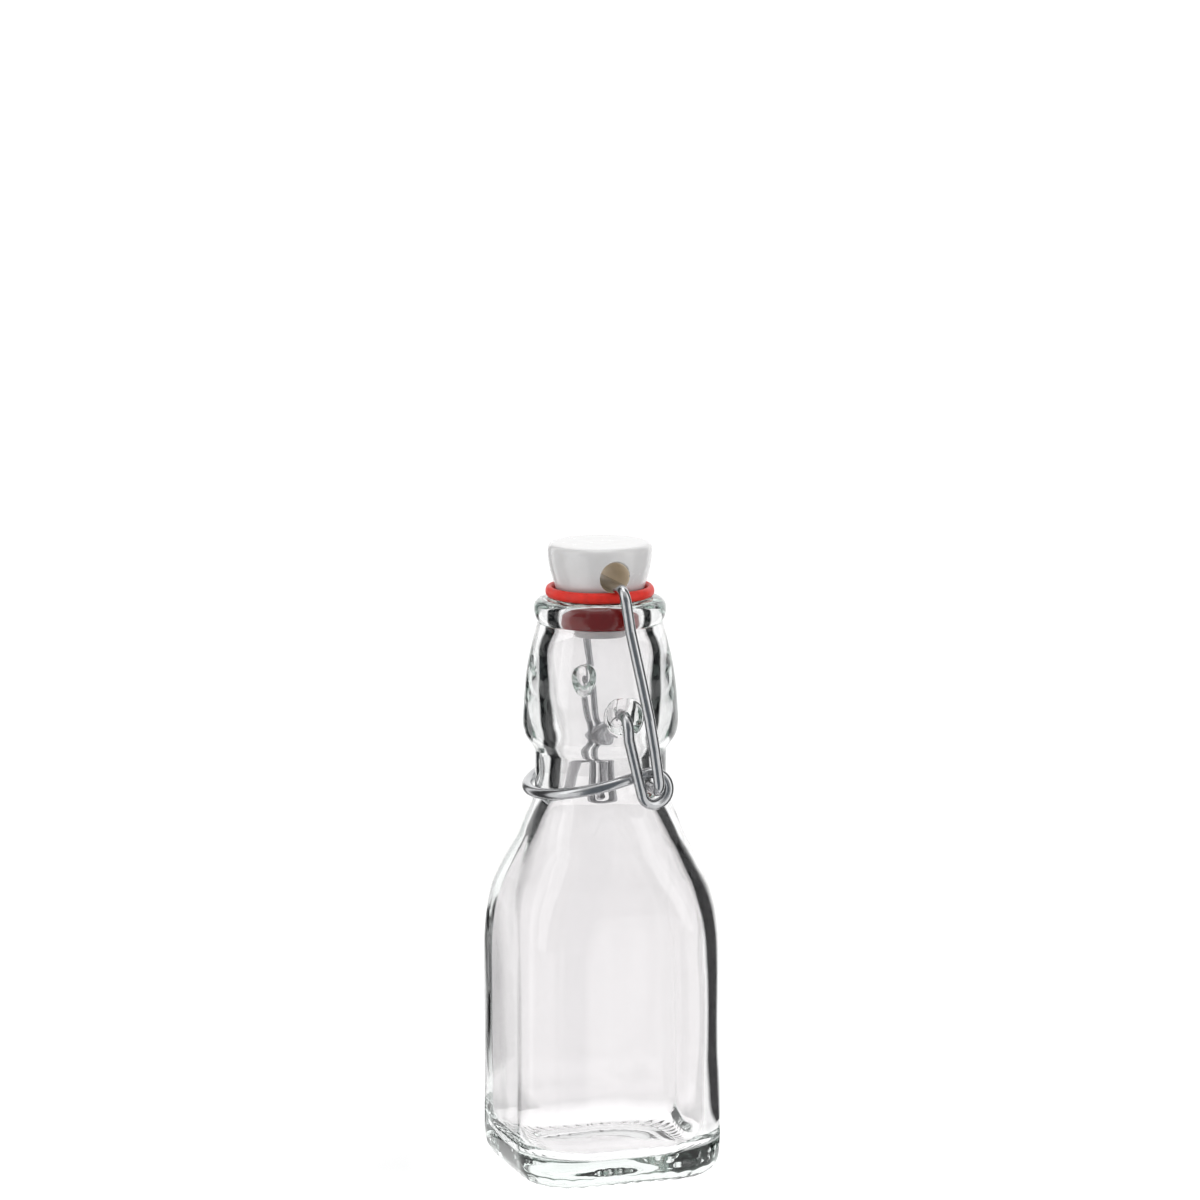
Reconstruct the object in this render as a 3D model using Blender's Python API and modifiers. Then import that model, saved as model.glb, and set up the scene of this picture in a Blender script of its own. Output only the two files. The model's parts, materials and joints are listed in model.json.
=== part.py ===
"""Small square swing-top bottle, closed: glass bottle, stopper, gasket, bail wire and lever wire.

Lengths in the constants are millimetres. +Z is up, the origin is the middle of the base and the
wires' pivots lie along Y. The lever's handle goes round the -X side of the neck and its eyes are
on the +X side. The lever turns in two dimples of the bottle, the bail in the lever's eyes and the
stopper on the bail's cross wire.
"""

import math

import bmesh
import bpy
from mathutils import Vector

MM = 0.001
GAP = 0.3
OBJECT_NAME = "swing_top_bottle"

# Bottle: the body is a square with round corners and the neck is round.
BODY_HALF = 23.75
BODY_CORNER = 12.4
HEEL_FILLET = 5.8
WALL = 2.6
PUNT_RADIUS = 15.0
PUNT_DEPTH = 2.3
FLOOR_HEIGHT = 6.2
FLOOR_FILLET = 4.0
NECK_RADIUS = 14.8
LIP_HEIGHT = 130.8
BORE_RADIUS = 9.3
POINTS_PER_CORNER = 12

# Rows are (height, half side, corner radius). A row whose two lengths agree is a circle.
SHOULDER_OUTSIDE = [
    (49.6, 23.75, 12.4),
    (54.7, 23.6, 12.6),
    (60.1, 23.3, 13.9),
    (62.9, 23.05, 14.9),
    (65.7, 22.55, 15.7),
    (68.4, 21.75, 16.3),
    (70.8, 20.9, 16.6),
    (73.6, 19.8, 16.9),
    (76.3, 18.6, 16.9),
    (79.1, 17.7, 16.9),
    (81.8, 16.8, 16.6),
]
SHOULDER_INSIDE = [
    (49.6, 21.15, 9.8),
    (54.7, 21.1, 10.1),
    (59.8, 20.8, 11.4),
    (63.9, 20.1, 12.8),
    (67.0, 19.2, 13.4),
    (70.1, 18.0, 14.0),
    (73.2, 16.6, 14.2),
    (76.2, 15.3, 13.9),
    (79.3, 14.1, 13.5),
]

# Rows are (height, radius).
NECK_OUTSIDE = [
    (84.4, 15.75),
    (86.4, 15.05),
    (89.0, NECK_RADIUS),
    (96.2, NECK_RADIUS),
    (97.2, 14.95),
    (98.1, 15.4),
    (99.0, 16.2),
    (99.9, 16.85),
    (101.7, 17.4),
    (103.6, 17.5),
    (107.2, 17.3),
    (110.9, 17.0),
    (114.6, 16.5),
    (118.2, 15.8),
    (121.9, 14.9),
    (123.7, 14.45),
    (125.5, 14.0),
    (126.4, 14.2),
    (127.2, 14.6),
    (128.2, 14.8),
    (129.3, 14.7),
    (130.2, 14.1),
    (130.65, 13.3),
    (LIP_HEIGHT, 12.3),
]
NECK_INSIDE = [
    (82.4, 12.9),
    (85.4, 11.6),
    (88.5, 10.8),
    (92.6, 10.6),
    (96.6, 10.9),
    (100.7, 11.6),
    (105.8, 11.8),
    (110.9, 11.3),
    (116.0, 10.3),
    (121.5, BORE_RADIUS),
    (130.0, BORE_RADIUS),
    (130.6, 9.7),
    (LIP_HEIGHT, 10.4),
]

# Dimples that hold the lever wire's ends.
PIVOT_HEIGHT = 106.5
DIMPLE_RADIUS = 4.5
DIMPLE_FLOOR = 13.2

# Both wires.
WIRE_RADIUS = 1.25
BEND_RADIUS = 2.8
BEND_STEPS = 5

# Lever wire: its ends turn in the dimples, it makes one turn as an eye on each side, and its
# handle goes round the neck.
LEVER_END = DIMPLE_FLOOR + 0.5
LEG_OUT = 19.3
LEG_BEND = (0.3, 101.5)
EYE_X = 6.6
EYE_HEIGHT = 89.9
EYE_RADIUS = 3.43
HANDLE_RADIUS = 16.5
HANDLE_SLOPE = 0.25
EYE_STEPS = 22
HANDLE_STEPS = 20

# Bail wire: a cross wire through the stopper, two legs bowed out over the lever, and ends that
# hook in through the eyes.
CROSS_HEIGHT = 134.8
BAIL_TOP_OUT = 17.2
BAIL_EYE_OUT = 22.2
BAIL_END = 15.0
BAIL_BOW = [(125.5, 17.4), (115.0, 20.1), (106.5, 22.0), (99.0, 22.5)]

# Stopper: a head with a cross hole, a stem, and a button that keeps the gasket on.
STOPPER_PROFILE = [
    (0.0, 143.2),
    (10.4, 143.2),
    (11.2, 142.95),
    (11.62, 142.4),
    (11.74, 141.5),
    (11.63, 140.0),
    (11.4, 138.2),
    (10.96, 136.4),
    (10.45, 134.6),
    (9.9, 132.9),
    (9.6, 132.2),
    (4.6, 132.2),
    (4.6, 124.3),
    (5.9, 124.1),
    (5.9, 123.0),
    (5.4, 122.4),
    (0.0, 122.4),
]
CROSS_HOLE_RADIUS = 3.4
CROSS_HOLE_HEIGHT = CROSS_HEIGHT - WIRE_RADIUS - GAP + CROSS_HOLE_RADIUS
HEAD_RADIUS = 11.74

# Gasket: a plug in the mouth and a flange on the lip whose rim turns up round the head.
GASKET_PROFILE = [
    (4.9, 131.9),
    (10.1, 131.9),
    (10.35, 132.5),
    (10.7, 133.0),
    (11.2, 133.2),
    (11.75, 133.0),
    (12.1, 132.4),
    (12.0, 131.7),
    (11.4, 131.2),
    (9.6, 131.1),
    (9.0, 130.4),
    (9.0, 128.8),
    (8.6, 127.2),
    (7.7, 125.6),
    (6.8, 124.6),
    (4.9, 124.6),
    (4.9, 131.9),
]
ROUND_STEPS = 48


def clear_scene():
    for item in list(bpy.data.objects):
        bpy.data.objects.remove(item, do_unlink=True)


def make_collection(name):
    collection = bpy.data.collections.new(name)
    bpy.context.scene.collection.children.link(collection)
    return collection


def make_material(name, colour, roughness, metallic=0.0, transmission=0.0):
    material = bpy.data.materials.new(name)
    material.use_nodes = True
    shader = material.node_tree.nodes["Principled BSDF"]
    shader.inputs["Base Color"].default_value = (*colour, 1.0)
    shader.inputs["Roughness"].default_value = roughness
    shader.inputs["Metallic"].default_value = metallic
    shader.inputs["Transmission Weight"].default_value = transmission
    material.diffuse_color = (*colour, 1.0)
    return material


def add_object(name, data, collection, material=None):
    item = bpy.data.objects.new(name, data)
    collection.objects.link(item)
    if material:
        data.materials.append(material)
    return item


def add_empty(name, place, collection):
    empty = bpy.data.objects.new(name, None)
    empty.location = Vector(place) * MM
    empty.empty_display_size = 0.01
    collection.objects.link(empty)
    return empty


def attach(child, parent):
    """Parents child to an unturned empty and leaves the child where it is."""
    child.parent = parent
    child.location -= parent.location


def square_ring(mesh, height, half, corner):
    """Adds one ring of a square with round corners, the same number of points for every size.

    The flats lie exactly at the half side, so the points of the corners lie just outside the arcs.
    """
    points = []
    inset = half - corner
    reach = corner / math.cos(math.radians(45 / POINTS_PER_CORNER))
    for quarter in range(4):
        middle = math.radians(45 + 90 * quarter)
        centre_x = math.copysign(inset, math.cos(middle))
        centre_y = math.copysign(inset, math.sin(middle))
        for step in range(POINTS_PER_CORNER):
            angle = math.radians(90 * (quarter + (step + 0.5) / POINTS_PER_CORNER))
            x = centre_x + reach * math.cos(angle)
            y = centre_y + reach * math.sin(angle)
            points.append(mesh.verts.new((x * MM, y * MM, height * MM)))
    return points


def fillet_rows(half, corner, fillet, bottom, steps):
    """Rows of a quarter-round edge that starts flat at the bottom and ends upright."""
    rows = []
    for step in range(steps + 1):
        angle = math.radians(90 * step / steps)
        inward = fillet * (1 - math.sin(angle))
        rise = fillet * (1 - math.cos(angle))
        rows.append((bottom + rise, half - inward, corner - inward))
    return rows


def punt_rows():
    """Rows of the hollow under the base, from its middle to its rim."""
    rows = []
    for share in (0.3, 0.6, 0.85, 1.0):
        radius = PUNT_RADIUS * share
        rows.append((PUNT_DEPTH * (1 - share * share), radius, radius))
    return rows


def floor_rows():
    """Rows of the cavity's floor, from its middle to where its fillet starts."""
    rows = []
    for share in (0.3, 0.6, 0.85):
        radius = PUNT_RADIUS * share
        rows.append((FLOOR_HEIGHT - 0.8 * share * share, radius, radius))
    return rows


def circle_rows(profile):
    return [(height, radius, radius) for height, radius in profile]


def bottle_mesh():
    """One closed skin, from the middle of the punt, over the lip, to the middle of the floor."""
    outside = punt_rows()
    outside += fillet_rows(BODY_HALF, BODY_CORNER, HEEL_FILLET, 0.0, 5)
    outside += SHOULDER_OUTSIDE
    outside += circle_rows(NECK_OUTSIDE)
    inside = floor_rows()
    inside += fillet_rows(BODY_HALF - WALL, BODY_CORNER - WALL, FLOOR_FILLET, FLOOR_HEIGHT - 0.8, 4)
    inside += SHOULDER_INSIDE
    inside += circle_rows(NECK_INSIDE)
    mesh = bmesh.new()
    rings = [square_ring(mesh, *row) for row in outside + inside[::-1]]
    for lower, upper in zip(rings, rings[1:]):
        for index, corner in enumerate(lower):
            following = (index + 1) % len(lower)
            mesh.faces.new((corner, lower[following], upper[following], upper[index]))
    punt_middle = mesh.verts.new((0, 0, PUNT_DEPTH * MM))
    floor_middle = mesh.verts.new((0, 0, FLOOR_HEIGHT * MM))
    for ring, middle in ((rings[0][::-1], punt_middle), (rings[-1], floor_middle)):
        for index, corner in enumerate(ring):
            mesh.faces.new((corner, ring[(index + 1) % len(ring)], middle))
    bmesh.ops.recalc_face_normals(mesh, faces=mesh.faces)
    data = bpy.data.meshes.new("glass_bottle")
    mesh.to_mesh(data)
    mesh.free()
    return data


def add_cutter(name, place, radius, length, collection):
    """Adds a cylinder along Y that other pieces are cut with."""
    mesh = bmesh.new()
    bmesh.ops.create_cone(
        mesh,
        cap_ends=True,
        segments=32,
        radius1=radius * MM,
        radius2=radius * MM,
        depth=length * MM,
    )
    data = bpy.data.meshes.new(name)
    mesh.to_mesh(data)
    mesh.free()
    cutter = add_object(name, data, collection)
    cutter.location = Vector(place) * MM
    cutter.rotation_euler = (math.radians(90), 0, 0)
    cutter.hide_render = True
    cutter.display_type = "WIRE"
    return cutter


def cut(target, cutter):
    modifier = target.modifiers.new(cutter.name, "BOOLEAN")
    modifier.operation = "DIFFERENCE"
    modifier.solver = "EXACT"
    modifier.object = cutter


def add_bottle(collection, cutters):
    glass = make_material("clear_glass", (0.86, 0.9, 0.89), 0.05, transmission=1.0)
    bottle = add_object("glass_bottle", bottle_mesh(), collection, glass)
    depth = 2 * NECK_RADIUS
    for name, side in (("near_dimple", -1), ("far_dimple", 1)):
        place = (0, side * (DIMPLE_FLOOR + depth / 2), PIVOT_HEIGHT)
        cut(bottle, add_cutter(name, place, DIMPLE_RADIUS, depth, cutters))
    return bottle


def turned_piece(name, profile, closed, collection, material):
    """Adds a profile of (radius, height) points turned round the Z axis."""
    mesh = bmesh.new()
    points = profile[:-1] if closed else profile
    corners = [mesh.verts.new((radius * MM, 0, height * MM)) for radius, height in points]
    for first, second in zip(corners, corners[1:]):
        mesh.edges.new((first, second))
    if closed:
        mesh.edges.new((corners[-1], corners[0]))
    data = bpy.data.meshes.new(name)
    mesh.to_mesh(data)
    mesh.free()
    piece = add_object(name, data, collection, material)
    screw = piece.modifiers.new("turn", "SCREW")
    screw.steps = ROUND_STEPS
    screw.render_steps = ROUND_STEPS
    screw.use_merge_vertices = True
    screw.merge_threshold = 0.00001
    screw.use_normal_calculate = True
    return piece


def rounded(points, radius):
    """Replaces each inner corner of a line of points with an arc."""
    path = [Vector(points[0])]
    for before, corner, after in zip(points, points[1:], points[2:]):
        corner = Vector(corner)
        back = (Vector(before) - corner).normalized()
        ahead = (Vector(after) - corner).normalized()
        half_angle = back.angle(ahead) / 2
        reach = radius / math.tan(half_angle)
        centre = corner + (back + ahead).normalized() * radius / math.sin(half_angle)
        start = corner + back * reach - centre
        end = corner + ahead * reach - centre
        turn = start.angle(end)
        steps = max(2, math.ceil(BEND_STEPS * turn / math.radians(90)))
        for step in range(steps + 1):
            share = step / steps
            mix = start * math.sin((1 - share) * turn) + end * math.sin(share * turn)
            path.append(centre + mix / math.sin(turn))
    path.append(Vector(points[-1]))
    return path


def wire(name, path, collection, material):
    data = bpy.data.curves.new(name, "CURVE")
    data.dimensions = "3D"
    data.bevel_depth = WIRE_RADIUS * MM
    data.bevel_resolution = 2
    data.use_fill_caps = True
    spline = data.splines.new("POLY")
    spline.points.add(len(path) - 1)
    for point, place in zip(spline.points, path):
        point.co = (*(place * MM), 1.0)
    return add_object(name, data, collection, material)


def lever_path():
    """Half the lever wire: dimple, leg, eye, then the handle to its middle."""
    bend_to_eye = Vector((EYE_X - LEG_BEND[0], EYE_HEIGHT - LEG_BEND[1]))
    lean = math.asin(EYE_RADIUS / bend_to_eye.length)
    leg_angle = math.atan2(bend_to_eye.y, bend_to_eye.x) - lean
    eye_start = leg_angle - math.pi / 2
    eye_end = math.pi / 2 + math.atan(HANDLE_SLOPE)
    turn = (eye_end - eye_start) % (2 * math.pi)
    eye = []
    for step in range(EYE_STEPS + 1):
        share = step / EYE_STEPS
        angle = eye_start + turn * share
        x = EYE_X + EYE_RADIUS * math.cos(angle)
        height = EYE_HEIGHT + EYE_RADIUS * math.sin(angle)
        out = LEG_OUT + (HANDLE_RADIUS - LEG_OUT) * share
        eye.append(Vector((x, -out, height)))
    leg = rounded(
        [
            (0, -LEVER_END, PIVOT_HEIGHT),
            (0, -LEG_OUT, PIVOT_HEIGHT),
            (LEG_BEND[0], -LEG_OUT, LEG_BEND[1]),
            eye[0],
        ],
        BEND_RADIUS,
    )
    handle_start = eye[-1]
    side_height = handle_start.z - HANDLE_SLOPE * handle_start.x
    handle = []
    for step in range(HANDLE_STEPS + 1):
        angle = math.radians(90 * step / HANDLE_STEPS)
        x = -HANDLE_RADIUS * math.sin(angle)
        y = -HANDLE_RADIUS * math.cos(angle)
        handle.append(Vector((x, y, side_height + HANDLE_SLOPE * x)))
    return leg[:-1] + eye + handle


def bail_path():
    """Half the bail wire: its end in the eye, its leg, then the cross wire to its middle."""

    def leg_x(height):
        return EYE_X * (CROSS_HEIGHT - height) / (CROSS_HEIGHT - EYE_HEIGHT)

    corners = [(EYE_X, -BAIL_END, EYE_HEIGHT), (EYE_X, -BAIL_EYE_OUT, EYE_HEIGHT)]
    corners += [(leg_x(height), -out, height) for height, out in reversed(BAIL_BOW)]
    corners += [(0, -BAIL_TOP_OUT, CROSS_HEIGHT), (0, 0, CROSS_HEIGHT)]
    return rounded(corners, BEND_RADIUS)


def whole_path(half):
    """Joins a half path on the -Y side, which ends in the middle, to its mirror image."""
    return half + [Vector((p.x, -p.y, p.z)) for p in reversed(half[:-1])]


def main():
    clear_scene()
    collection = make_collection(OBJECT_NAME)
    cutters = make_collection("cutters")

    add_bottle(collection, cutters)

    steel = make_material("galvanised_wire", (0.62, 0.62, 0.62), 0.32, metallic=1.0)
    lever_pivot = add_empty("lever_pivot", (0, 0, PIVOT_HEIGHT), collection)
    bail_pivot = add_empty("bail_pivot", (EYE_X, 0, EYE_HEIGHT), collection)
    stopper_pivot = add_empty("stopper_pivot", (0, 0, CROSS_HEIGHT), collection)
    attach(bail_pivot, lever_pivot)
    stopper_pivot.parent = bail_pivot
    stopper_pivot.location = Vector((-EYE_X, 0, CROSS_HEIGHT - EYE_HEIGHT)) * MM

    lever = wire("lever_wire", whole_path(lever_path()), collection, steel)
    lever.parent = lever_pivot
    lever.location = Vector((0, 0, -PIVOT_HEIGHT)) * MM
    bail = wire("bail_wire", whole_path(bail_path()), collection, steel.copy())
    bail.parent = bail_pivot
    bail.location = Vector((-EYE_X, 0, -EYE_HEIGHT)) * MM

    white = make_material("white_porcelain", (0.86, 0.86, 0.85), 0.12)
    stopper = turned_piece("stopper", STOPPER_PROFILE, False, collection, white)
    hole_place = (0, 0, CROSS_HOLE_HEIGHT)
    cut(stopper, add_cutter("cross_hole", hole_place, CROSS_HOLE_RADIUS, 3 * HEAD_RADIUS, cutters))
    red = make_material("red_rubber", (0.75, 0.06, 0.03), 0.4)
    gasket = turned_piece("gasket", GASKET_PROFILE, True, collection, red)
    for piece in (stopper, gasket):
        piece.parent = stopper_pivot
        piece.location = Vector((0, 0, -CROSS_HEIGHT)) * MM


main()
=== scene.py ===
"""Looks of the swing-top bottle: clear moulded glass, white stopper, red rubber gasket, steel wires."""

import json
import math

import bpy
import numpy as np
from mathutils import Matrix, Vector


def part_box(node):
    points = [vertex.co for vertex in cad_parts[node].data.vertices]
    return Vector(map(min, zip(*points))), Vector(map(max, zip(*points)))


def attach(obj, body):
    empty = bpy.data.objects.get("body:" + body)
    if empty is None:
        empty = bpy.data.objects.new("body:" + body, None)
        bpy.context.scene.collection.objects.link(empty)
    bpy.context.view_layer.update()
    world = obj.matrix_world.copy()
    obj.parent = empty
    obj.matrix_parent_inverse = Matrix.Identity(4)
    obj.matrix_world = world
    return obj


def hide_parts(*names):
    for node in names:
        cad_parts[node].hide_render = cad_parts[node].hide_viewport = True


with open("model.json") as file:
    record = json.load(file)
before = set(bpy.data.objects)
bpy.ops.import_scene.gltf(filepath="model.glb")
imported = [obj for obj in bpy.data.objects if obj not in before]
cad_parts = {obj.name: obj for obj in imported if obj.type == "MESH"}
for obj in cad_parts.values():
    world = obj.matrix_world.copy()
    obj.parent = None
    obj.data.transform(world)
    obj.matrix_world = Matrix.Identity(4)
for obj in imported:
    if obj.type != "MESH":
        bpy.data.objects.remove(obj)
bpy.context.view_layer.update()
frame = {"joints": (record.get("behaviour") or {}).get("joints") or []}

# Sizes of the pieces are in millimetres, and heights are above the base.
MM = 0.001
JOINTS = {joint["name"]: joint for joint in frame["joints"]}
PIVOT_HEIGHT = JOINTS["lever_swing"]["pos_m"][2] / MM
EYE_X = JOINTS["bail_swing"]["pos_m"][0] / MM
EYE_HEIGHT = JOINTS["bail_swing"]["pos_m"][2] / MM
CROSS_HEIGHT = JOINTS["stopper_swing"]["pos_m"][2] / MM
LIP_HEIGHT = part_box("glass_bottle")[1].z / MM
BODY_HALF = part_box("glass_bottle")[1].x / MM
TOP_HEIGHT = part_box("stopper")[1].z / MM
FULL_TURN = 2 * math.pi

# ---------------------------------------------------------------- camera (metres)
CAMERA_PLACE = (-0.4098, -1.2356, 0.35794)
CAMERA_AIM = (0, 0, 0.1300)
CAMERA_LENS = 177.1
CAMERA_SENSOR = 36.0
CAMERA_FAR = 100.0
CAMERA_ROLL = math.radians(0.2)
VIEW_TURN = math.radians(18.35)

# ---------------------------------------------------------------- bottle
POINTS_ROUND = 432
ROW_STEP = 0.55
BULGE_STEP = 0.4
BODY_CORNER = 12.4
NECK_RADIUS = 14.8
BORE_RADIUS = 9.3

# One inner corner of the body is fuller than the others, as in a moulded wall.
FULL_CORNER = 1.2
FULL_CORNER_TURN = math.radians(135)
FULL_CORNER_FROM = 12

# Fine ridges on the ring that the bottle stands on, and shallow scallops low on the heel.
RIDGES = 44
RIDGE_HEIGHT = 0.3
RIDGE_TOP = 1.2
RIDGE_INSIDE = 16.2
RIDGE_OUTSIDE = 21.8
RIDGE_EASE = 0.8
SCALLOP_TOP = 3.4
SCALLOP_FROM = 18
SCALLOP_DEPTH = 0.16

# Soft waves of the inner wall: (waves round, turn per millimetre of height, start, share).
WALL_WAVE = 0.03
WALL_WAVE_FROM = 8
WALL_WAVE_EASE = 6
WALL_WAVES = [(3, 1 / 9, 0.0, 1.0), (7, -1 / 5, 1.3, 0.8), (13, 1 / 14, 2.1, 0.6)]

# The bowls in the neck that hold the lever wire's ends.
DIMPLE_RADIUS = 4.3
DIMPLE_FLOOR = 13.3
DIMPLE_BOWL = 3.2
DIMPLE_EDGE = 0.7
DIMPLE_LEAST_RADIUS = 14

# Outlines that reach the axis stop this far from it, and a flat cap closes them.
NEAR_AXIS = 0.02

# Rows of the bottle's outline are (height, half side, corner radius), and are joined smoothly.
PUNT = [
    (2.35, NEAR_AXIS, NEAR_AXIS),
    (2.3, 3.0, 3.0),
    (2.0, 6.5, 6.5),
    (1.35, 10.5, 9.8),
    (0.7, 13.6, 10.4),
    (0.28, 15.2, 9.6),
    (0.06, 15.9, 8.4),
]
HEEL = [
    (0.0, 16.6, 7.4),
    (0.0, 17.4, 7.4),
    (0.0, 18.4, 8.0),
    (0.12, 19.6, 8.8),
    (0.6, 21.1, 10.0),
    (1.6, 22.4, 11.2),
    (3.2, 23.3, 12.0),
    (5.8, 23.7, 12.35),
]
BODY = [
    (9.5, BODY_HALF, BODY_CORNER),
    (20.0, BODY_HALF, BODY_CORNER),
    (35.0, BODY_HALF, BODY_CORNER),
    (48.0, BODY_HALF, BODY_CORNER),
    (54.7, 23.6, 12.6),
    (60.1, 23.3, 13.9),
    (62.9, 23.05, 14.9),
    (65.7, 22.55, 15.7),
    (68.4, 21.75, 16.3),
    (70.8, 20.9, 16.6),
    (73.6, 19.8, 16.9),
    (76.3, 18.6, 16.9),
    (79.1, 17.7, 16.9),
    (81.8, 16.8, 16.6),
    (84.4, 15.75, 15.75),
    (86.6, 15.0, 15.0),
    (89.0, NECK_RADIUS, NECK_RADIUS),
    (93.0, NECK_RADIUS, NECK_RADIUS),
    (96.2, NECK_RADIUS, NECK_RADIUS),
]
CAVITY = [
    (79.3, 13.9, 13.6),
    (76.2, 15.2, 14.4),
    (73.2, 16.5, 14.9),
    (70.1, 17.9, 15.2),
    (67.0, 19.2, 15.0),
    (63.9, 20.1, 14.4),
    (59.8, 20.8, 13.2),
    (54.7, 21.1, 12.0),
    (48.0, 21.15, 11.5),
    (35.0, 21.15, 11.5),
    (20.0, 21.15, 11.5),
    (12.0, 21.1, 11.5),
    (9.3, 20.7, 11.3),
    (7.5, 19.6, 10.8),
    (6.2, 17.6, 10.8),
    (5.6, 15.0, 9.9),
    (5.6, 12.0, 9.6),
    (5.9, 8.0, 8.0),
    (6.15, 4.0, 4.0),
    (6.2, NEAR_AXIS, NEAR_AXIS),
]

# The round stretches of the neck are (height, radius).
BULGE = [
    (96.5, 14.9),
    (97.1, 15.25),
    (98.1, 15.9),
    (99.1, 16.6),
    (100.2, 17.1),
    (101.7, 17.4),
    (103.6, 17.5),
    (107.2, 17.3),
    (110.9, 17.0),
    (114.6, 16.5),
    (118.2, 15.8),
    (121.9, 14.9),
    (123.7, 14.45),
    (125.1, 14.1),
]
RING = [
    (125.35, 13.98),
    (125.6, 14.05),
    (126.1, 14.35),
    (127.0, 14.68),
    (128.2, 14.8),
    (129.3, 14.65),
    (130.2, 14.0),
    (130.65, 13.1),
    (LIP_HEIGHT, 12.1),
    (LIP_HEIGHT, 11.0),
    (130.6, 10.1),
    (130.1, 9.5),
    (129.2, BORE_RADIUS),
]
BORE = [
    (126.5, BORE_RADIUS),
    (124.0, 10.0),
    (121.5, 11.0),
    (118.4, 11.8),
    (115.0, 12.0),
    (111.0, 11.8),
    (107.0, 11.4),
    (103.0, 10.7),
    (99.0, 9.6),
    (95.0, 8.8),
    (91.0, 8.9),
    (88.0, 9.7),
    (85.0, 11.2),
    (82.4, 12.5),
]

# ---------------------------------------------------------------- wires
# A wire's cut end is eased by rings of (distance from the end, radius).
WIRE_RADIUS = 1.25
WIRE_SIDES = 28
WIRE_CLOSE = 0.02
WIRE_END = [(0, 0.55 * WIRE_RADIUS), (0.08, WIRE_RADIUS - 0.15), (0.25, WIRE_RADIUS)]
BEND_RADIUS = 2.8
BEND_STEPS = 16
LEVER_END = 13.9
LEG_OUT = 19.3
LEG_BEND = (0.3, 101.5)
EYE_RADIUS = 3.43
EYE_STEPS = 90
HANDLE_RADIUS = 16.5
HANDLE_SLOPE = 0.25
HANDLE_STEPS = 70
BAIL_TOP_OUT = 17.2
BAIL_EYE_OUT = 22.2
BAIL_END = 15.0
BAIL_BOW = [(125.5, 17.4), (115.0, 20.1), (106.5, 22.0), (99.0, 22.5)]

# ---------------------------------------------------------------- stopper and gasket
# Profiles are (radius, height), turned round the bottle's axis.
ROUND_STEPS = 192
PROFILE_STEP = 0.12
STOPPER_PROFILE = [
    (NEAR_AXIS, TOP_HEIGHT),
    (6.0, TOP_HEIGHT),
    (10.2, TOP_HEIGHT - 0.03),
    (10.9, 143.05),
    (11.4, 142.65),
    (11.67, 142.0),
    (11.72, 141.2),
    (11.6, 139.6),
    (11.35, 137.9),
    (10.95, 136.2),
    (10.45, 134.5),
    (10.0, 133.0),
    (9.8, 132.5),
    (9.5, 132.22),
    (9.0, 132.2),
    (5.2, 132.2),
    (4.6, 131.8),
    (4.6, 129.0),
    (4.6, 124.5),
    (4.9, 124.2),
    (5.7, 124.1),
    (5.9, 123.8),
    (5.9, 123.1),
    (5.6, 122.6),
    (5.2, 122.42),
    (3.0, 122.4),
    (NEAR_AXIS, 122.4),
]
GASKET_PROFILE = [
    (4.75, 128.0),
    (4.75, 131.6),
    (5.1, 131.95),
    (8.0, 131.95),
    (10.1, 131.95),
    (10.35, 132.5),
    (10.7, 133.15),
    (11.2, 133.45),
    (11.8, 133.2),
    (12.15, 132.55),
    (12.15, 131.75),
    (11.85, 131.2),
    (11.1, 130.98),
    (9.7, 130.95),
    (9.1, 130.7),
    (8.95, 130.0),
    (9.0, 128.8),
    (8.7, 127.2),
    (7.9, 125.7),
    (6.9, 124.75),
    (6.2, 124.5),
    (5.2, 124.55),
    (4.75, 125.0),
]
PLUG_TOP = 131.0

# The rubber flange isn't quite round: (waves round, start, share), growing outward from a radius.
FLANGE_RIPPLE = 0.05
FLANGE_RIPPLE_RISE = 0.7
FLANGE_RIPPLE_FROM = 9.5
FLANGE_RIPPLE_EASE = 2.5
FLANGE_RIPPLES = [(3, 0.4, 1.0), (7, 1.9, 0.6), (13, 0.0, 0.4)]

# The cross hole's lowest line lies a small gap under the cross wire, and its ends flare out.
CROSS_HOLE_RADIUS = 3.4
CROSS_HOLE_GAP = 0.3
CROSS_HOLE_HEIGHT = CROSS_HEIGHT - WIRE_RADIUS - CROSS_HOLE_GAP + CROSS_HOLE_RADIUS
CROSS_HOLE_STEPS = 96
CROSS_HOLE_OUTS = [9.0, 9.7, 10.2, 10.6, 11.0, 11.6, 13.0]
CROSS_HOLE_FLARE = 0.55
CROSS_HOLE_FLARE_FROM = 9.7
CROSS_HOLE_FLARE_EASE = 2.0
CROSS_HOLE_FLARE_MOST = 1.6
CROSS_HOLE_WALL = 0.08
CROSS_HOLE_WALL_OUT = 10.4

# ---------------------------------------------------------------- colours
GLASS_COLOUR = (0.875, 0.86, 0.867, 1)
GLASS_TINT = (0.45, 0.72, 0.60, 1)
GLASS_DENSITY = 5.0
GLASS_IOR = 1.52
GLASS_SHADOW = (0.97, 0.97, 0.97, 1)
WHITE_DARK = (0.545, 0.54, 0.538, 1)
WHITE_LIGHT = (0.575, 0.57, 0.572, 1)
# The hole wall's tan colours are painted light: warm light bouncing inside the white stopper's cross
# hole, with a faint painted glow on top.
HOLE_PAINTED_BOUNCE_DARK = (0.76, 0.66, 0.51, 1)
HOLE_PAINTED_BOUNCE_LIGHT = (0.84, 0.74, 0.59, 1)
HOLE_PAINTED_GLOW = (0.90, 0.78, 0.6, 1)
FLANGE_RED = (0.64, 0.022, 0.012)
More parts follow.
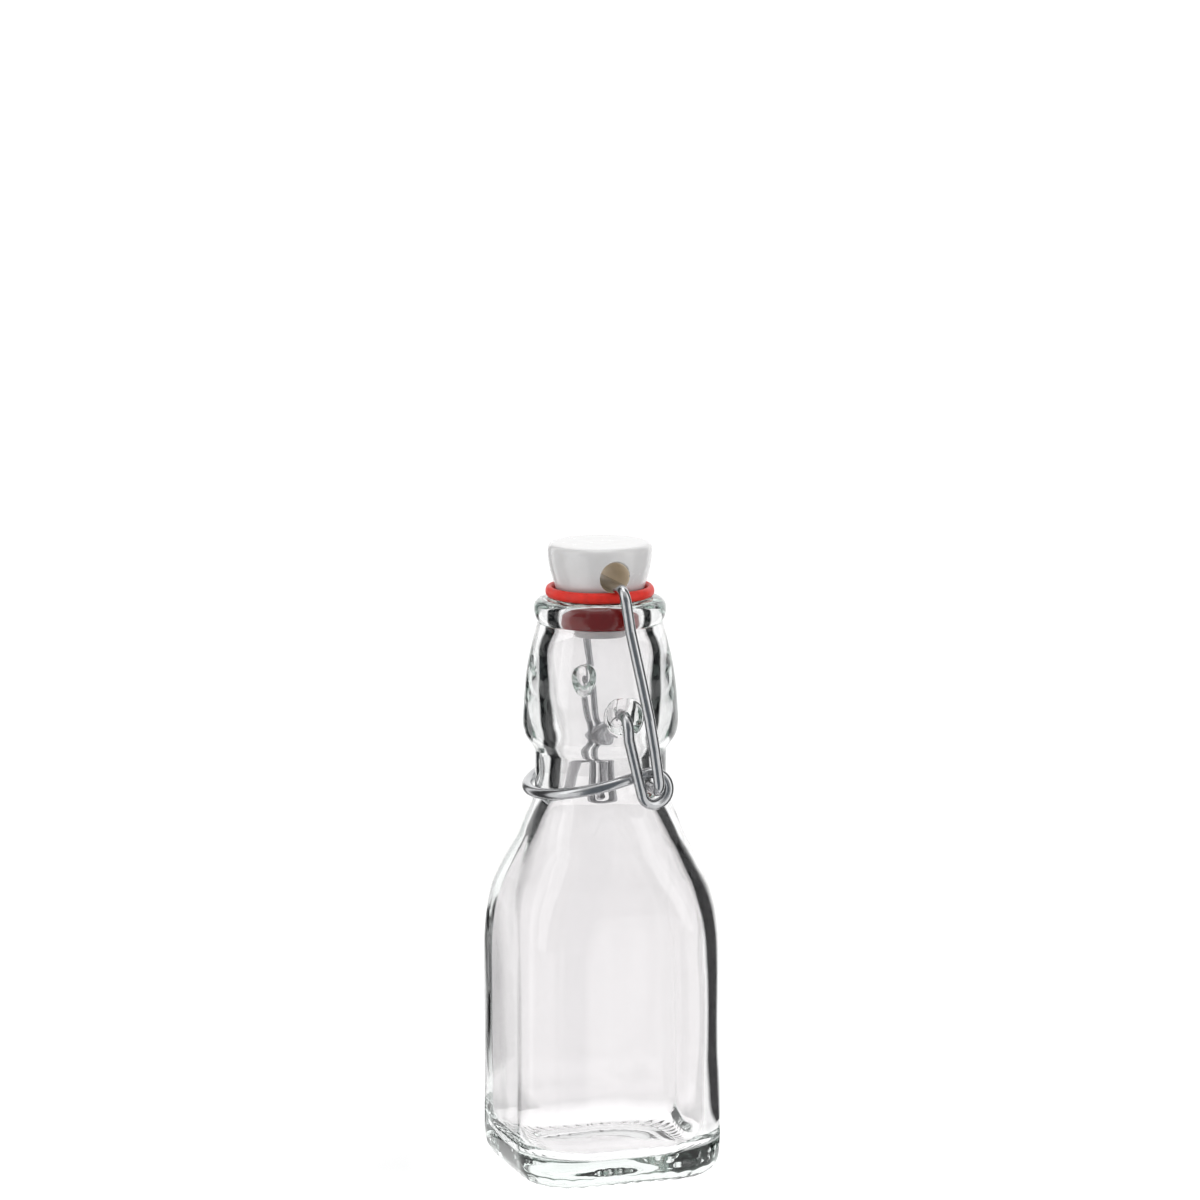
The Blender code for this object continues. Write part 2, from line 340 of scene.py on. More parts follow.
# The plug's darker red is painted shade: the same rubber as the flange, darkened for the shade inside
# the bottle's mouth.
PLUG_PAINTED_SHADE_RED = (0.24, 0.006, 0.005)
RED_DARKER = 0.88
RED_LIGHTER = 1.1
STEEL_DARK = (0.42, 0.425, 0.435, 1)
STEEL_LIGHT = (0.50, 0.505, 0.515, 1)
FLOOR_COLOUR = (0.97, 0.97, 0.97, 1)
WHITE = (1, 1, 1, 1)
BLACK = (0.004, 0.004, 0.005, 1)
FRONT_GREY = (0.19, 0.21, 0.23, 1)

# Fine variation of each surface: (marks per metre, smoothest, roughest, height in metres).
WHITE_MOTTLE = (350, 0.22, 0.3, 0.0000005)
HOLE_MOTTLE = (500, 0.45, 0.6, 0.000006)
RUBBER_MOTTLE = (700, 0.36, 0.5, 0.000010)
STEEL_MOTTLE = (450, 0.12, 0.26, 0.000004)

# ---------------------------------------------------------------- studio (metres, degrees)
FLOOR_HALF = 12
# The floor's painted glow is full out to the first radius and gone at the second; it lifts the shadow
# under the bottle.
FLOOR_PAINTED_GLOW = 0.6
GLOW_FULL = 0.024
GLOW_END = 0.046
WORLD_BACK = 1.26
WORLD_FRONT = 0.5
WORLD_TURN_END = 0.85
LAMP_AIM = (0, 0, 0.1)

# Strip lights are (name, degrees to the right of the camera's side, watts).
STRIP_DISTANCE = 0.8
STRIP_HEIGHT = 0.42
STRIP_SIZE = (0.3, 0.8)
STRIPS = [("left_strip", -58, 0.9), ("right_strip", 62, 0.8)]
TOP_PLACE = (0, 0, 1.0)
TOP_SIZE = (0.5, 0.5)
TOP_POWER = 1.0

# Flags are dark cards round the bottle, at fixed angles from straight behind it, positive to the
# left. Each layer of flags stands a little further out than the last, and a little higher.
FLAG_DISTANCE = 0.11
FLAG_LAYER = 0.001
FLAG_FOOT = 0.038
FLAG_FOOT_LIFT = 0.0003
FLAG_FOOT_RISE = 0.3
FLAG_HEIGHT = 0.5
FLAG_FADE = 8
REFRACTED_FLAGS = [(27, 78), (104, 152), (-72, -33), (-152, -104)]
SIDE_FLAGS = [("narrow_flag_left", 28, 49.2, 2.5)]
SIDE_FLAGS += [("side_flag_left", 60, 104, FLAG_FADE), ("side_flag_right", -104, -50, FLAG_FADE)]
FRONT_FLAG = (150, 210)
FRONT_FLAG_HEIGHT = 0.2
DEEPEST = 40
DEEP_STRENGTH = 0.3
SIDE_STRENGTH = 0.95


# ---------------------------------------------------------------- lines and meshes
def curve_through(rows, step):
    """Points on a smooth line through the rows, about one step apart."""
    rows = np.asarray(rows, float)
    lengths = np.linalg.norm(np.diff(rows[:, :2], axis=0), axis=1)
    knots = np.concatenate([[0.0], np.cumsum(lengths**0.5)])
    first = 2 * rows[0] - rows[1]
    last = 2 * rows[-1] - rows[-2]
    points = [rows[0]]
    for index in range(len(rows) - 1):
        p0 = rows[index - 1] if index else first
        p1, p2 = rows[index], rows[index + 1]
        p3 = rows[index + 2] if index + 2 < len(rows) else last
        t1, t2 = knots[index], knots[index + 1]
        t0 = knots[index - 1] if index else t1 - (t2 - t1)
        t3 = knots[index + 2] if index + 2 < len(rows) else t2 + (t2 - t1)
        count = max(1, math.ceil(np.linalg.norm((p2 - p1)[:2]) / step))
        for part in range(1, count + 1):
            t = t1 + (t2 - t1) * part / count
            a1 = (t1 - t) / (t1 - t0) * p0 + (t - t0) / (t1 - t0) * p1
            a2 = (t2 - t) / (t2 - t1) * p1 + (t - t1) / (t2 - t1) * p2
            a3 = (t3 - t) / (t3 - t2) * p2 + (t - t2) / (t3 - t2) * p3
            b1 = (t2 - t) / (t2 - t0) * a1 + (t - t0) / (t2 - t0) * a2
            b2 = (t3 - t) / (t3 - t1) * a2 + (t - t1) / (t3 - t1) * a3
            points.append((t2 - t) / (t2 - t1) * b1 + (t - t1) / (t2 - t1) * b2)
    return np.array(points)


def angles_round(count):
    return np.arange(count) * FULL_TURN / count


def tube_faces(rings, around, inward=False, looped=False):
    """Faces between rings of points, with a cap on each end unless the rings close in a loop."""
    faces = []
    for ring in range(rings if looped else rings - 1):
        first = ring * around
        second = (ring + 1) % rings * around
        for index in range(around):
            following = (index + 1) % around
            if inward:
                faces.append((first + index, second + index, second + following, first + following))
            else:
                faces.append((first + index, first + following, second + following, second + index))
    if not looped:
        start_cap = tuple(range(around))
        end_cap = tuple(range((rings - 1) * around, rings * around))
        faces += [start_cap, end_cap[::-1]] if inward else [start_cap[::-1], end_cap]
    return faces


def object_from(name, points, faces, smooth=True):
    data = bpy.data.meshes.new(name)
    data.from_pydata([tuple(p) for p in points], [], faces)
    data.validate()
    if smooth:
        data.shade_smooth()
    item = bpy.data.objects.new(name, data)
    bpy.context.scene.collection.objects.link(item)
    return item


# ---------------------------------------------------------------- bottle
def circles(rows):
    """Rows of (height, radius) as rows of the bottle's outline."""
    return [(height, radius, radius) for height, radius in rows]


def ring_radii(half, corner, angles):
    """Distance from the axis to the edge of a square with round corners, at each angle."""
    folded = np.abs((angles + math.pi / 4) % (math.pi / 2) - math.pi / 4)
    inset = half - corner
    flat = half / np.cos(folded)
    along = inset * (np.cos(folded) + np.sin(folded))
    across = inset * (np.cos(folded) - np.sin(folded))
    curved = along + np.sqrt(np.maximum(corner**2 - across**2, 0))
    return np.where(np.tan(folded) * half <= inset, flat, curved)


def bottle_rows():
    """The outline from the middle of the punt, up the outside, and down the inside to its floor."""
    outside = curve_through(PUNT + HEEL + BODY, ROW_STEP)
    bulge = curve_through(circles(BULGE), BULGE_STEP)
    inside = curve_through(circles(RING + BORE) + CAVITY, ROW_STEP)
    rows = np.vstack([outside, bulge, inside])
    rows[:, 0] = np.clip(rows[:, 0], 0, LIP_HEIGHT)
    rows[:, 1] = np.minimum(rows[:, 1], BODY_HALF)
    return rows


def wave_wall(grid, rows, inner_start, angles):
    """Soft waves on the inner wall."""
    for row in range(inner_start + 1, len(rows)):
        height, half = rows[row][:2]
        share = min(1.0, max(0.0, (half - WALL_WAVE_FROM) / WALL_WAVE_EASE))
        wave = np.zeros_like(angles)
        for count, turn, start, size in WALL_WAVES:
            wave += size * np.sin(count * angles + turn * height + start)
        grid[row, :, :2] *= (1 + WALL_WAVE * share * wave / half)[:, None]


def ridge_ring(grid, rows, angles):
    """Ridges pressed up into the ring that the bottle stands on."""
    for row, (height, half) in enumerate(rows[:, :2]):
        if height > RIDGE_TOP or not RIDGE_INSIDE < half < RIDGE_OUTSIDE:
            continue
        share = min(1.0, (half - RIDGE_INSIDE) / RIDGE_EASE, (RIDGE_OUTSIDE - half) / RIDGE_EASE)
        grid[row, :, 2] += RIDGE_HEIGHT * share * (0.5 + 0.5 * np.cos(RIDGES * angles))


def scallop_heel(grid, rows, angles):
    """Shallow scallops of uneven depth, low on the heel."""
    wave = 0.5 - 0.5 * np.cos(RIDGES * angles)
    wave = wave * (0.7 + 0.3 * np.sin(5 * angles + 1.0))
    for row, (height, half) in enumerate(rows[:, :2]):
        if half < SCALLOP_FROM or height > SCALLOP_TOP:
            continue
        share = math.sin(math.pi * height / SCALLOP_TOP) ** 2
        grid[row, :, :2] *= (1 - SCALLOP_DEPTH * share * wave / half)[:, None]


def press_dimples(grid):
    """A bowl on each side of the neck's bulge, for the lever wire's ends."""
    for row in grid:
        height = row[0, 2]
        if abs(height - PIVOT_HEIGHT) > DIMPLE_RADIUS + DIMPLE_EDGE or row[0, 0] < DIMPLE_LEAST_RADIUS:
            continue
        off = np.hypot(row[:, 0], height - PIVOT_HEIGHT)
        share = np.clip((DIMPLE_RADIUS + DIMPLE_EDGE / 2 - off) / DIMPLE_EDGE, 0, 1)
        share = share * share * (3 - 2 * share)
        out = row[:, 1].copy()
        bowl = DIMPLE_FLOOR + DIMPLE_BOWL * np.minimum(1, off / DIMPLE_RADIUS) ** 2
        row[:, 1] = np.where(np.abs(out) > bowl, out + (np.sign(out) * bowl - out) * share, out)


def build_bottle():
    rows = bottle_rows()
    angles = angles_round(POINTS_ROUND)
    inner_start = int(np.argmax(rows[:, 0]))
    fuller = FULL_CORNER * np.maximum(0, np.cos(angles - FULL_CORNER_TURN)) ** 3
    rings = []
    for row, (height, half, corner) in enumerate(rows):
        if row > inner_start and half > FULL_CORNER_FROM:
            corner = corner + fuller
        radii = ring_radii(half, np.minimum(corner, half), angles)
        x = radii * np.cos(angles)
        y = radii * np.sin(angles)
        rings.append(np.stack([x, y, np.full_like(x, height)], 1))
    grid = np.array(rings)
    wave_wall(grid, rows, inner_start, angles)
    ridge_ring(grid, rows, angles)
    scallop_heel(grid, rows, angles)
    press_dimples(grid)
    return object_from("bottle_glass", grid.reshape(-1, 3) * MM, tube_faces(len(rows), POINTS_ROUND))


# ---------------------------------------------------------------- stopper and gasket
def turned(name, profile, closed, ripple=0.0):
    """A profile of (radius, height) turned round the Z axis, its outer part uneven by the ripple."""
    line = curve_through(profile + profile[:1] if closed else profile, PROFILE_STEP)
    if closed:
        line = line[:-1]
    angles = angles_round(ROUND_STEPS)
    wave = ripple * sum(size * np.sin(count * angles + start) for count, start, size in FLANGE_RIPPLES)
    points = []
    for radius, height in line:
        height = min(height, TOP_HEIGHT)
        share = max(0.0, (radius - FLANGE_RIPPLE_FROM) / FLANGE_RIPPLE_EASE)
        spread = radius + wave * share
        rise = height + FLANGE_RIPPLE_RISE * wave * share
        points.append(np.stack([spread * np.cos(angles), spread * np.sin(angles), rise], 1))
    faces = tube_faces(len(line), ROUND_STEPS, inward=True, looped=closed)
    return object_from(name, np.concatenate(points) * MM, faces)


def cross_hole():
    """The shape of the stopper's cross hole, flared where it comes out."""
    angles = angles_round(CROSS_HOLE_STEPS)
    outs = [-out for out in reversed(CROSS_HOLE_OUTS)] + CROSS_HOLE_OUTS
    points = []
    for out in outs:
        flare = max(0.0, abs(out) - CROSS_HOLE_FLARE_FROM) / CROSS_HOLE_FLARE_EASE
        radius = CROSS_HOLE_RADIUS + CROSS_HOLE_FLARE * min(flare, CROSS_HOLE_FLARE_MOST) ** 2
        x = radius * np.cos(angles)
        z = CROSS_HOLE_HEIGHT + radius * np.sin(angles)
        points.append(np.stack([x, np.full_like(x, out), z], 1))
    faces = tube_faces(len(outs), CROSS_HOLE_STEPS, inward=True)
    return object_from("hole_shape", np.concatenate(points) * MM, faces)


def build_stopper():
    item = turned("stopper_head", STOPPER_PROFILE, False)
    cutter = cross_hole()
    boolean = item.modifiers.new("cross_hole", "BOOLEAN")
    boolean.operation = "DIFFERENCE"
    boolean.solver = "EXACT"
    boolean.object = cutter
    graph = bpy.context.evaluated_depsgraph_get()
    carved = bpy.data.meshes.new_from_object(item.evaluated_get(graph))
    item.modifiers.clear()
    item.data = carved
    bpy.data.objects.remove(cutter)
    carved.shade_smooth()
    return item


def on_hole_wall(centre):
    off = math.hypot(centre.x, centre.z - CROSS_HOLE_HEIGHT)
    return off < CROSS_HOLE_RADIUS + CROSS_HOLE_WALL and abs(centre.y) < CROSS_HOLE_WALL_OUT


def on_plug(centre):
    return centre.z < PLUG_TOP


# ---------------------------------------------------------------- wires
def rounded(points, radius):
    """Replaces each inner corner of a line of points with an arc."""
    path = [Vector(points[0])]
    for before, corner, after in zip(points, points[1:], points[2:]):
        corner = Vector(corner)
        back = (Vector(before) - corner).normalized()
        ahead = (Vector(after) - corner).normalized()
        half_angle = back.angle(ahead) / 2
        reach = radius / math.tan(half_angle)
        centre = corner + (back + ahead).normalized() * radius / math.sin(half_angle)
        start = corner + back * reach - centre
        end = corner + ahead * reach - centre
        turn = start.angle(end)
        steps = max(3, math.ceil(BEND_STEPS * turn / math.radians(90)))
        for step in range(steps + 1):
            share = step / steps
            mix = start * math.sin((1 - share) * turn) + end * math.sin(share * turn)
            path.append(centre + mix / math.sin(turn))
    path.append(Vector(points[-1]))
    return path


def eye_points():
    """One turn of wire round the bail's end, from the lever's leg to its handle."""
    bend_to_eye = Vector((EYE_X - LEG_BEND[0], EYE_HEIGHT - LEG_BEND[1]))
    lean = math.asin(EYE_RADIUS / bend_to_eye.length)
    start = math.atan2(bend_to_eye.y, bend_to_eye.x) - lean - math.pi / 2
    end = math.pi / 2 + math.atan(HANDLE_SLOPE)
    turn = (end - start) % FULL_TURN
    points = []
    for step in range(EYE_STEPS + 1):
        share = step / EYE_STEPS
        angle = start + turn * share
        out = LEG_OUT + (HANDLE_RADIUS - LEG_OUT) * share
        x = EYE_X + EYE_RADIUS * math.cos(angle)
        points.append(Vector((x, -out, EYE_HEIGHT + EYE_RADIUS * math.sin(angle))))
    return points


def handle_points(start):
    """The sloping handle round the neck, from its side to its middle."""
    side_height = start.z - HANDLE_SLOPE * start.x
    points = []
    for step in range(HANDLE_STEPS + 1):
        angle = math.radians(90 * step / HANDLE_STEPS)
        x = -HANDLE_RADIUS * math.sin(angle)
        points.append(Vector((x, -HANDLE_RADIUS * math.cos(angle), side_height + HANDLE_SLOPE * x)))
    return points


def lever_path():
    """Half the lever wire: dimple, leg, eye, then the handle to its middle."""
    eye = eye_points()
    corners = [(0, -LEVER_END, PIVOT_HEIGHT), (0, -LEG_OUT, PIVOT_HEIGHT)]
    corners += [(LEG_BEND[0], -LEG_OUT, LEG_BEND[1]), eye[0]]
    return rounded(corners, BEND_RADIUS)[:-1] + eye + handle_points(eye[-1])


def bail_path():
    """Half the bail wire: its end in the eye, its leg, then the cross wire to its middle."""
    corners = [(EYE_X, -BAIL_END, EYE_HEIGHT), (EYE_X, -BAIL_EYE_OUT, EYE_HEIGHT)]
    for height, out in reversed(BAIL_BOW):
        corners.append((EYE_X * (CROSS_HEIGHT - height) / (CROSS_HEIGHT - EYE_HEIGHT), -out, height))
    corners += [(0, -BAIL_TOP_OUT, CROSS_HEIGHT), (0, 0, CROSS_HEIGHT)]
    return rounded(corners, BEND_RADIUS)


def wire_rings(path):
    """Along a path: each point with its direction and two directions square to it."""
    kept = [path[0]]
    for point in path[1:]:
        if (point - kept[-1]).length > WIRE_CLOSE:
            kept.append(point)
    ahead = [(after - before).normalized() for before, after in zip(kept[:-1], kept[1:])]
    middle = [(a + b).normalized() for a, b in zip(ahead, ahead[1:])]
    rings = []
    side = ahead[0].orthogonal().normalized()
    for point, tangent in zip(kept, [ahead[0]] + middle + [ahead[-1]]):
        side = (side - tangent * side.dot(tangent)).normalized()
        rings.append((point, tangent, side.copy(), tangent.cross(side)))
    return rings


def end_rings(ring, sense):
    """Three rings that ease a wire's cut end, from its face inward; sense is -1 at the far end."""
    return [(ring[0] + ring[1] * sense * inset, radius, ring) for inset, radius in WIRE_END]


def wire(name, half):
    """A round wire along half a path and its mirror image, with eased ends."""
    rings = wire_rings(half + [Vector((p.x, -p.y, p.z)) for p in reversed(half[:-1])])
    shapes = end_rings(rings[0], 1)
    shapes += [(ring[0], WIRE_RADIUS, ring) for ring in rings[1:-1]]
    shapes += end_rings(rings[-1], -1)[::-1]
    points = []
    for centre, radius, (_, _, side, other) in shapes:
        for angle in angles_round(WIRE_SIDES):
            points.append((centre + (side * math.cos(angle) + other * math.sin(angle)) * radius) * MM)
    return object_from(name, points, tube_faces(len(shapes), WIRE_SIDES))


# ---------------------------------------------------------------- node helpers
class Nodes:
    """Adds nodes to one tree and links them."""

    def __init__(self, tree):
        self.tree = tree

    def add(self, kind, **values):
        node = self.tree.nodes.new(kind)
        for key, value in values.items():
            if key in node.inputs:
                node.inputs[key].default_value = value
            else:
                setattr(node, key, value)
        return node

    def link(self, source, target):
        self.tree.links.new(source, target)

    def math(self, operation, first, second):
        """A math node's output; its first input is a socket, its second a socket or a number."""
        node = self.add("ShaderNodeMath", operation=operation)
        self.link(first, node.inputs[0])
        if isinstance(second, bpy.types.NodeSocket):
            self.link(second, node.inputs[1])
        else:
            node.inputs[1].default_value = second
        return node.outputs[0]

    def mapped(self, value, start, end, low, high, interpolation="LINEAR"):
        """A socket's value, mapped from start and end to low and high."""
        node = self.add("ShaderNodeMapRange", interpolation_type=interpolation)
        for key, number in (("From Min", start), ("From Max", end), ("To Min", low), ("To Max", high)):
            node.inputs[key].default_value = number
        self.link(value, node.inputs["Value"])
        return node.outputs["Result"]


class Material(Nodes):
    """A new node material, with its shader and output at hand."""

    def __init__(self, name):
        self.data = bpy.data.materials.new(name)
        self.data.use_nodes = True
        super().__init__(self.data.node_tree)
        self.shader = self.tree.nodes["Principled BSDF"]
        self.output = self.tree.nodes["Material Output"]

    def set(self, **values):
        for key, value in values.items():
            self.shader.inputs[key.replace("_", " ")].default_value = value

    def mixed(self, share, first, second):
        """Sends a mix of two shaders to the surface."""
        mix = self.add("ShaderNodeMixShader")
        for source, target in zip((share, first, second), mix.inputs):
            self.link(source, target)
        self.link(mix.outputs[0], self.output.inputs["Surface"])

    def mottle(self, dark, light, scale, smooth, rough, height):
        """Fine variation of colour, gloss and surface; scale is marks per metre, height in metres."""
        place = self.add("ShaderNodeTexCoord")
        marks = self.add("ShaderNodeTexNoise", Scale=scale, Detail=4.0, Roughness=0.6)
        self.link(place.outputs["Object"], marks.inputs["Vector"])
        colour = self.add("ShaderNodeValToRGB")
        for element, position, shade in zip(colour.color_ramp.elements, (0.3, 0.7), (dark, light)):
            element.position = position
            element.color = shade
        self.link(marks.outputs["Fac"], colour.inputs["Fac"])
        self.link(colour.outputs["Color"], self.shader.inputs["Base Color"])
        gloss = self.mapped(marks.outputs["Fac"], 0, 1, smooth, rough)
        self.link(gloss, self.shader.inputs["Roughness"])
        grain = self.add("ShaderNodeTexNoise", Scale=scale * 4, Detail=3.0)
        self.link(place.outputs["Object"], grain.inputs["Vector"])
        bump = self.add("ShaderNodeBump", Strength=1.0, Distance=height)
        self.link(grain.outputs["Fac"], bump.inputs["Height"])
        self.link(bump.outputs["Normal"], self.shader.inputs["Normal"])


# ---------------------------------------------------------------- materials of the pieces
def glass_material():
    """Clear glass with a faint green body; shadow rays pass, so that its shadow stays light."""
    glass = Material("clear_glass")
    glass.set(Base_Color=GLASS_COLOUR, Roughness=0.0, IOR=GLASS_IOR, Transmission_Weight=1.0)
    path = glass.add("ShaderNodeLightPath")
    clear = glass.add("ShaderNodeBsdfTransparent", Color=GLASS_SHADOW)
    glass.mixed(path.outputs["Is Shadow Ray"], glass.shader.outputs[0], clear.outputs[0])
    absorb = glass.add("ShaderNodeVolumeAbsorption", Color=GLASS_TINT, Density=GLASS_DENSITY)
    glass.link(absorb.outputs[0], glass.output.inputs["Volume"])
    return glass.data


def white_material():
    white = Material("white_stopper")
    white.mottle(WHITE_DARK, WHITE_LIGHT, *WHITE_MOTTLE)
    white.set(IOR=1.5, Coat_Weight=0.5, Coat_Roughness=0.06)
    white.set(Subsurface_Weight=0.15, Subsurface_Radius=(1.0, 0.9, 0.8), Subsurface_Scale=0.001)
    return white.data


# Painted light: a tan, faintly glowing copy of the white stopper for the inside of the cross hole,
# standing for the warm bounce light there.
def hole_painted_light_material():
    hole = Material("hole_wall_painted_light")
    hole.mottle(HOLE_PAINTED_BOUNCE_DARK, HOLE_PAINTED_BOUNCE_LIGHT, *HOLE_MOTTLE)
    hole.set(Emission_Color=HOLE_PAINTED_GLOW, Emission_Strength=0.06)
    return hole.data


def red_material(name, colour, shine):
    rubber = Material(name)
    darker = [RED_DARKER * part for part in colour] + [1]
    lighter = [min(1.0, RED_LIGHTER * part) for part in colour] + [1]
    rubber.mottle(darker, lighter, *RUBBER_MOTTLE)
    rubber.set(IOR=shine)
    rubber.set(Subsurface_Weight=0.2, Subsurface_Radius=(1.0, 0.2, 0.1), Subsurface_Scale=0.0008)
    return rubber.data


def steel_material():
    steel = Material("steel_wire")
    steel.mottle(STEEL_DARK, STEEL_LIGHT, *STEEL_MOTTLE)
    steel.set(Metallic=1.0)
    return steel.data


def dress(item, node, body, slot, *materials):
    """Gives a piece its materials, and puts it in a CAD node's place on its body."""
    item.data.materials.clear()
    for material in materials:
        item.data.materials.append(material)
    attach(item, body)
    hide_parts(node)


def use_second(item, chosen):
    """Gives a piece's second material to the faces whose centres are chosen."""
    for face in item.data.polygons:
        face.material_index = int(chosen(face.center / MM))


# ---------------------------------------------------------------- studio
def floor_with_painted_glow():
    """A plain pale floor with a painted glow in a patch under the bottle, which takes away the bottle's
    shadow.
    """
    corners = [(-FLOOR_HALF, -FLOOR_HALF, 0), (FLOOR_HALF, -FLOOR_HALF, 0)]
    corners += [(FLOOR_HALF, FLOOR_HALF, 0), (-FLOOR_HALF, FLOOR_HALF, 0)]
    item = object_from("floor", corners, [(0, 1, 2, 3)], smooth=False)
    pale = Material("pale_floor_painted_glow")
    pale.set(Base_Color=FLOOR_COLOUR, Roughness=0.6, Emission_Color=WHITE)
    place = pale.add("ShaderNodeTexCoord")
    reach = pale.add("ShaderNodeVectorMath", operation="LENGTH")
    pale.link(place.outputs["Object"], reach.inputs[0])
    glow = pale.mapped(reach.outputs["Value"], GLOW_FULL, GLOW_END, FLOOR_PAINTED_GLOW, 0.0, "SMOOTHSTEP")
    pale.link(glow, pale.shader.inputs["Emission Strength"])
    item.data.materials.append(pale.data)


def flag_material(name, first, last, strength, colour):
    """Dark for rays that have passed through first to last glass faces, clear for others."""
    card = Material(name)
    depth = card.add("ShaderNodeLightPath").outputs["Transmission Depth"]
    above = card.math("GREATER_THAN", depth, first - 0.5)
    below = card.math("LESS_THAN", depth, last + 0.5)
    fade = card.add("ShaderNodeAttribute", attribute_name="fade").outputs["Fac"]
    share = card.math("MULTIPLY", card.math("MULTIPLY", above, below), fade)
    clear = card.add("ShaderNodeBsdfTransparent")
    dark = card.add("ShaderNodeEmission", Color=colour)
    card.mixed(card.math("MULTIPLY", share, strength), clear.outputs[0], dark.outputs[0])
    return card.data


def flag(name, start, end, layer, material, height=FLAG_HEIGHT, fade_out=FLAG_FADE):
    """A curved flag from one angle to another, with a foot on the floor that reaches to the bottle."""
    steps = math.ceil(end - start)
    distance = FLAG_DISTANCE + layer * FLAG_LAYER
    foot_height = FLAG_FOOT_LIFT + layer * FLAG_LAYER * FLAG_FOOT_RISE
    points = []
    fades = []
    for part in range(steps + 1):
        along = start + (end - start) * part / steps
        angle = math.radians(90 + along) - VIEW_TURN
        x, y = math.cos(angle), math.sin(angle)
        points.append((FLAG_FOOT * x, FLAG_FOOT * y, foot_height))
        points.append((distance * x, distance * y, foot_height))
        points.append((distance * x, distance * y, height))
        fades += [min(1.0, (along - start) / FLAG_FADE, (end - along) / fade_out)] * 3
    faces = []
    for part in range(steps):
        near = 3 * part
        faces += [(near, near + 3, near + 4, near + 1), (near + 1, near + 4, near + 5, near + 2)]
    item = object_from(name, points, faces)
    fade = item.data.attributes.new("fade", "FLOAT", "POINT")
    fade.data.foreach_set("value", fades)
    item.data.materials.append(material)
    item.visible_camera = False
    item.visible_diffuse = False
    item.visible_shadow = False


def flags():
    """The dark cards that give clear glass its dark edges; the camera doesn't see them directly."""
    edge = flag_material("edge_flag", 1, 3, 1.0, BLACK)
    deep = flag_material("deep_flag", 4, DEEPEST, DEEP_STRENGTH, BLACK)
    side = flag_material("side_flag", 0, 0, SIDE_STRENGTH, BLACK)
    front = flag_material("front_flag", 0, 3, 1.0, FRONT_GREY)
    for start, end in REFRACTED_FLAGS:
        flag(f"edge_flag_{start}", start, end, 0, edge)
        flag(f"deep_flag_{start}", start, end, 1, deep)
    for name, start, end, fade_out in SIDE_FLAGS:
        flag(name, start, end, 2, side, fade_out=fade_out)
    flag("front_flag", *FRONT_FLAG, 3, front, FRONT_FLAG_HEIGHT)


def strip_place(angle):
    """A strip light's place, at an angle to the right of the camera's side of the bottle."""
    turn = math.radians(angle) - VIEW_TURN
    return (STRIP_DISTANCE * math.sin(turn), -STRIP_DISTANCE * math.cos(turn), STRIP_HEIGHT)


def lamp(name, place, size, power):
    data = bpy.data.lights.new(name, "AREA")
    data.shape = "RECTANGLE"
    data.size, data.size_y = size
    data.energy = power
    item = bpy.data.objects.new(name, data)
    item.location = place
    item.rotation_euler = (Vector(LAMP_AIM) - Vector(place)).to_track_quat("-Z", "Y").to_euler()
    bpy.context.scene.collection.objects.link(item)


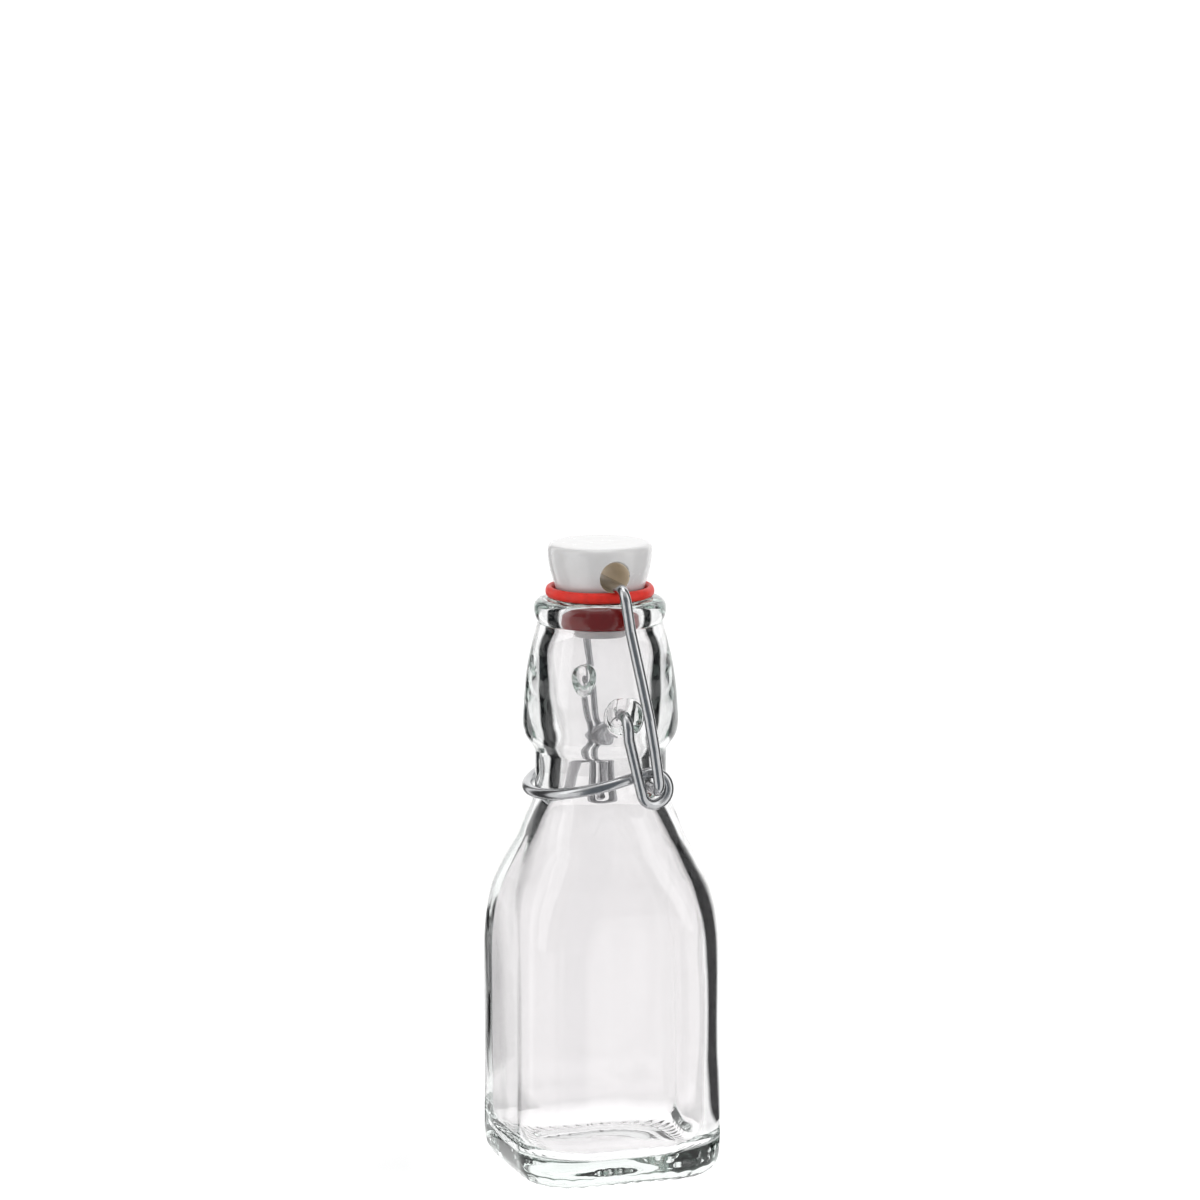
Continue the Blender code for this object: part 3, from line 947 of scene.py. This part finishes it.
def white_world():
    """Plain white all round, dimmer on the side that the camera stands on."""
    world = bpy.data.worlds.new("studio")
    bpy.context.scene.world = world
    world.use_nodes = True
    nodes = Nodes(world.node_tree)
    place = nodes.add("ShaderNodeTexCoord")
    facing = nodes.add("ShaderNodeVectorMath", operation="DOT_PRODUCT")
    facing.inputs[1].default_value = (-math.sin(VIEW_TURN), -math.cos(VIEW_TURN), 0)
    nodes.link(place.outputs["Generated"], facing.inputs[0])
    strength = nodes.mapped(
        facing.outputs["Value"], 0.0, WORLD_TURN_END, WORLD_BACK, WORLD_FRONT, "SMOOTHSTEP"
    )
    background = world.node_tree.nodes["Background"]
    background.inputs["Color"].default_value = WHITE
    nodes.link(strength, background.inputs["Strength"])


def place_camera():
    data = bpy.data.cameras.new("camera")
    data.lens = CAMERA_LENS
    data.sensor_width = CAMERA_SENSOR
    data.clip_end = CAMERA_FAR
    item = bpy.data.objects.new("camera", data)
    bpy.context.scene.collection.objects.link(item)
    item.location = CAMERA_PLACE
    aim = Vector(CAMERA_AIM) - Vector(CAMERA_PLACE)
    roll = Matrix.Rotation(-CAMERA_ROLL, 3, "Z")
    item.rotation_euler = (aim.to_track_quat("-Z", "Y").to_matrix() @ roll).to_euler()
    bpy.context.scene.camera = item


# ---------------------------------------------------------------- the pieces
dress(build_bottle(), "glass_bottle", "bottle", "clear_glass", glass_material())

stopper = build_stopper()
dress(stopper, "stopper", "closure", "white_stopper", white_material(), hole_painted_light_material())
# The faces of the cross hole's wall get the painted-light material.
use_second(stopper, on_hole_wall)

# The gasket's plug, inside the mouth, gets a darker red that is painted shade; the flange keeps the
# rubber's own red.
gasket = turned("rubber_gasket", GASKET_PROFILE, True, FLANGE_RIPPLE)
flange_red = red_material("flange_red", FLANGE_RED, 1.38)
plug_painted_shade_red = red_material("plug_painted_shade_red", PLUG_PAINTED_SHADE_RED, 1.15)
dress(gasket, "gasket", "closure", "red_rubber", flange_red, plug_painted_shade_red)
use_second(gasket, on_plug)

steel = steel_material()
dress(wire("lever_steel", lever_path()), "lever_wire", "lever", "steel_wire", steel)
dress(wire("bail_steel", bail_path()), "bail_wire", "bail", "steel_wire", steel)

# ---------------------------------------------------------------- the studio
floor_with_painted_glow()
flags()
for strip_name, strip_angle, strip_power in STRIPS:
    lamp(strip_name, strip_place(strip_angle), STRIP_SIZE, strip_power)
lamp("top_box", TOP_PLACE, TOP_SIZE, TOP_POWER)
white_world()
place_camera()

# Clear glass needs long light paths.
scene = bpy.context.scene
scene.view_settings.view_transform = "Standard"
scene.cycles.max_bounces = 24
scene.cycles.transmission_bounces = 20
scene.cycles.glossy_bounces = 16
scene.cycles.transparent_max_bounces = 16
scene.cycles.use_denoising = True
